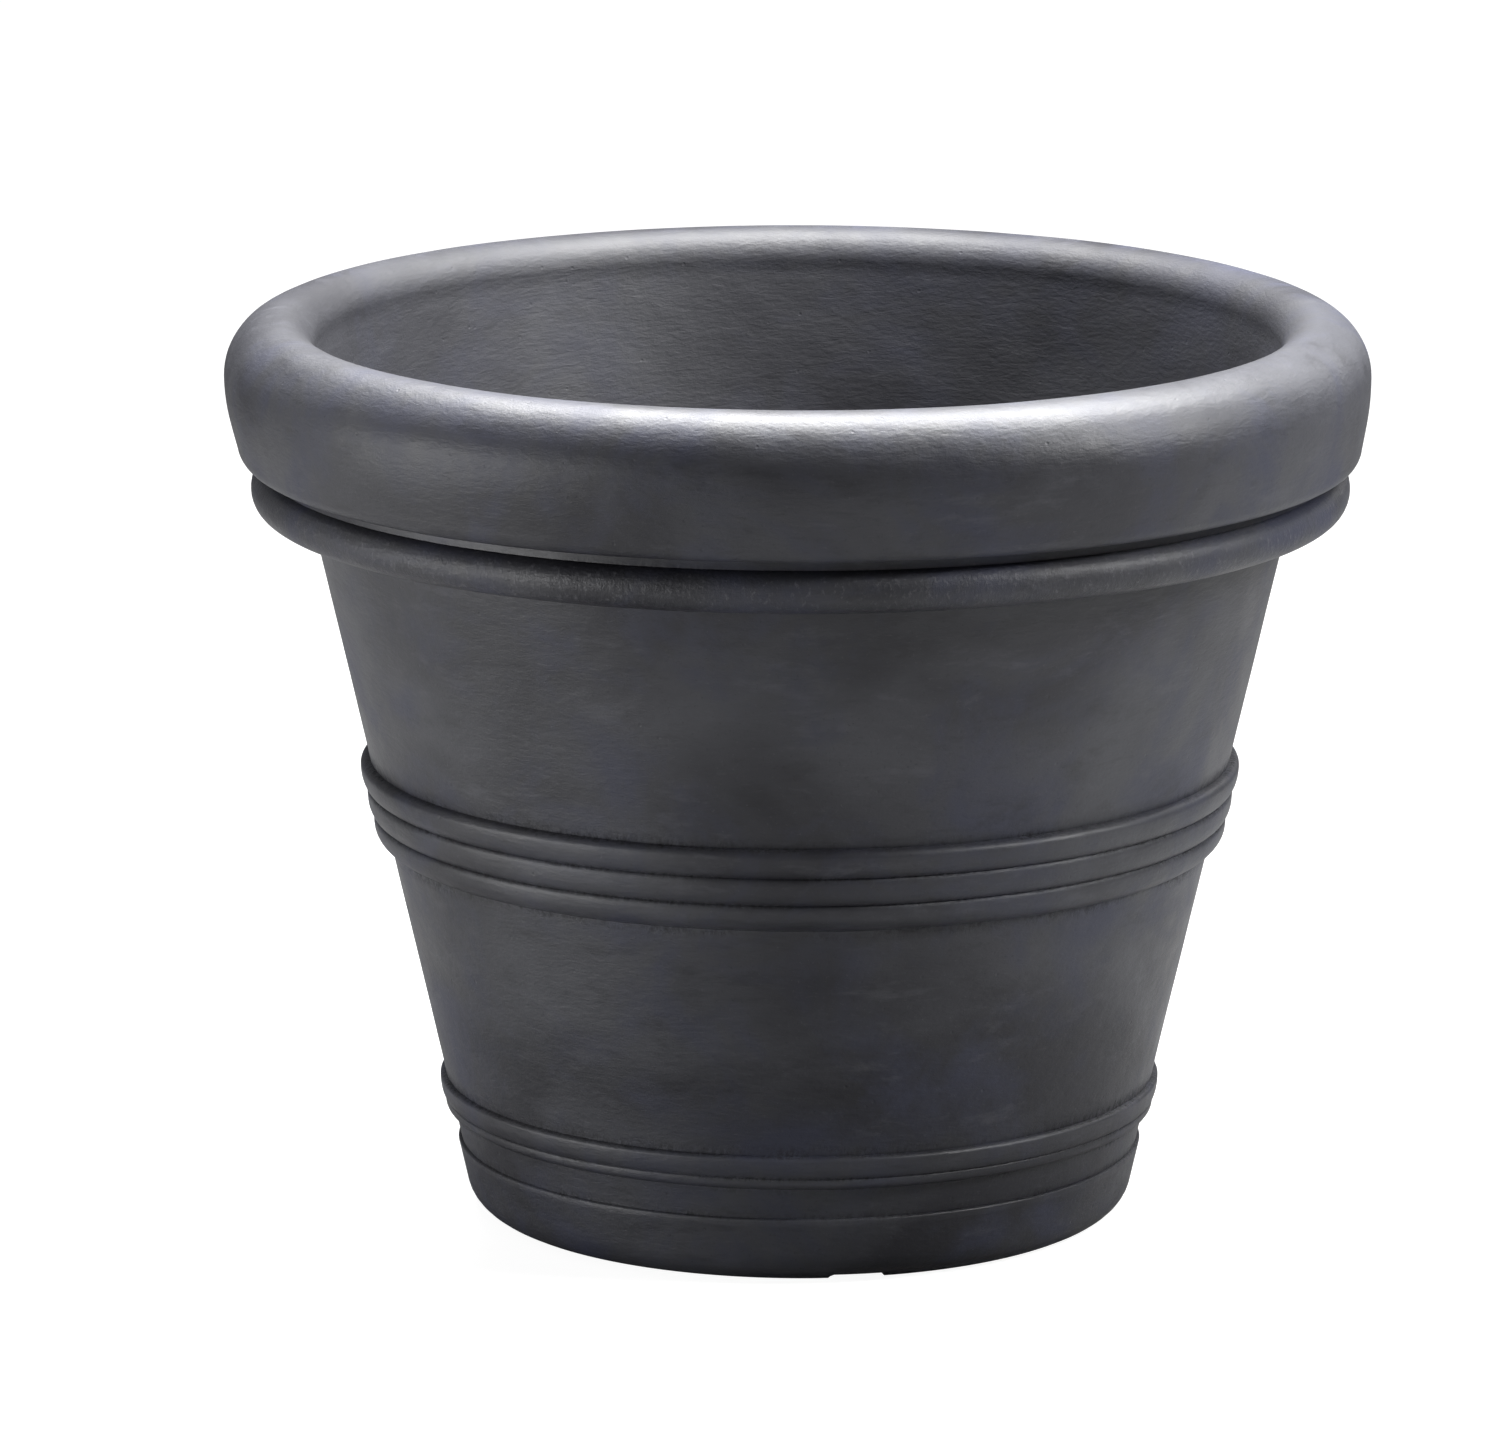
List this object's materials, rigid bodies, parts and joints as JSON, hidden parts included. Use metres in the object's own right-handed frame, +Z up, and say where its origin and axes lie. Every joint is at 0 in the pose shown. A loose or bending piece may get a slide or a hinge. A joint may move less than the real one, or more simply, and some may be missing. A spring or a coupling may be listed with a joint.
{
  "type": "rolled rim planter",
  "caption": "Round tapered double-walled floor planter with a thick rolled rim, a collar, ribbed bands and removable rubber drain plugs.",
  "frame": {"origin": "on the planter's axis, at the level of the surface it stands on", "axes": "+Z up along the planter's axis; the pictured front, with one drain channel a little to its right, faces -Y"},
  "size_m": [0.508, 0.508, 0.4025],
  "materials": {
    "shell_plastic": "matt moulded polyethylene, charcoal grey with soft mottling and fine grain",
    "cap_plastic": "plain matt black",
    "plug_rubber": "matt black rubber"
  },
  "bodies": {
    "shell": {"pot_shell": "shell_plastic", "vent_cap": "cap_plastic"},
    "plug_1": {"drain_plug_1": "plug_rubber"},
    "plug_2": {"drain_plug_2": "plug_rubber"},
    "plug_3": {"drain_plug_3": "plug_rubber"},
    "plug_4": {"drain_plug_4": "plug_rubber"}
  },
  "joints": [
    {"name": "plug_1_lift", "type": "slide", "parent": "shell", "child": "plug_1", "axis": [0, 0, 1], "range_m": [0, 0.4]},
    {"name": "plug_2_lift", "type": "slide", "parent": "shell", "child": "plug_2", "axis": [0, 0, 1], "range_m": [0, 0.4]},
    {"name": "plug_3_lift", "type": "slide", "parent": "shell", "child": "plug_3", "axis": [0, 0, 1], "range_m": [0, 0.4]},
    {"name": "plug_4_lift", "type": "slide", "parent": "shell", "child": "plug_4", "axis": [0, 0, 1], "range_m": [0, 0.4]}
  ]
}
